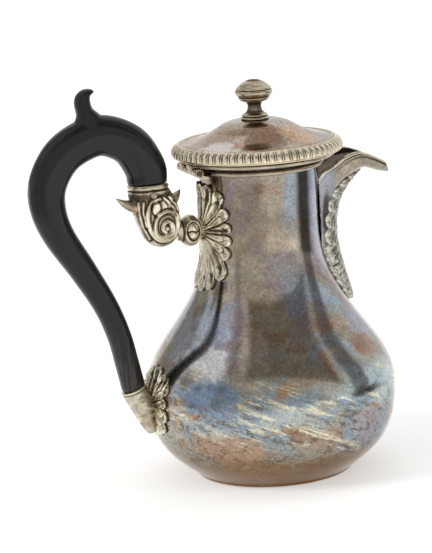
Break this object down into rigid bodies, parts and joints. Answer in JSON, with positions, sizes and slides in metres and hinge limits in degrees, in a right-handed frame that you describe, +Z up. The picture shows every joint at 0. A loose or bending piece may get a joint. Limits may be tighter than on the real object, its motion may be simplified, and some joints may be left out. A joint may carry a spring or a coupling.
{
  "type": "baluster pitcher",
  "caption": "Baluster-shaped metal pitcher with a beak spout, a hinged domed lid with a gadrooned border, and a dark wood scroll handle in two cast sockets.",
  "frame": {"origin": "centre of the flat base, on the surface the pitcher stands on", "axes": "+Z up, +X from the handle towards the spout, Y along the lid's hinge"},
  "size_m": [0.1609, 0.1074, 0.1738],
  "materials": {
    "body_silver": "tarnished polished silver",
    "lid_silver": "worn silver with a coppery cast",
    "cast_silver": "cast and chased silver, dark in the recesses",
    "fitting_silver": "plain silver fittings",
    "ebonised_wood": "black stained wood, satin gloss"
  },
  "bodies": {
    "pitcher": {"body_shell": "body_silver", "rim_moulding": "body_silver", "spout": "body_silver", "spout_leaf": "cast_silver", "neck_leaf_plate": "cast_silver", "upper_knuckle": "cast_silver", "upper_socket": "cast_silver", "upper_handle_pin": "fitting_silver", "handle": "ebonised_wood", "lower_socket": "cast_silver", "belly_leaf_plate": "cast_silver", "lower_handle_pin": "fitting_silver", "hinge_bracket": "fitting_silver", "hinge_pin": "fitting_silver"},
    "lid": {"lid_dome": "lid_silver", "lid_border": "cast_silver", "lid_seat_ring": "fitting_silver", "lid_hinge_leaf": "fitting_silver", "knop": "cast_silver", "knop_washer": "fitting_silver", "knop_nut": "fitting_silver"}
  },
  "joints": [
    {"name": "lid_hinge", "type": "hinge", "parent": "pitcher", "child": "lid", "pos_m": [-0.0306, 0, 0.1345], "axis": [0, -1, 0], "range_deg": [0, 82]}
  ]
}
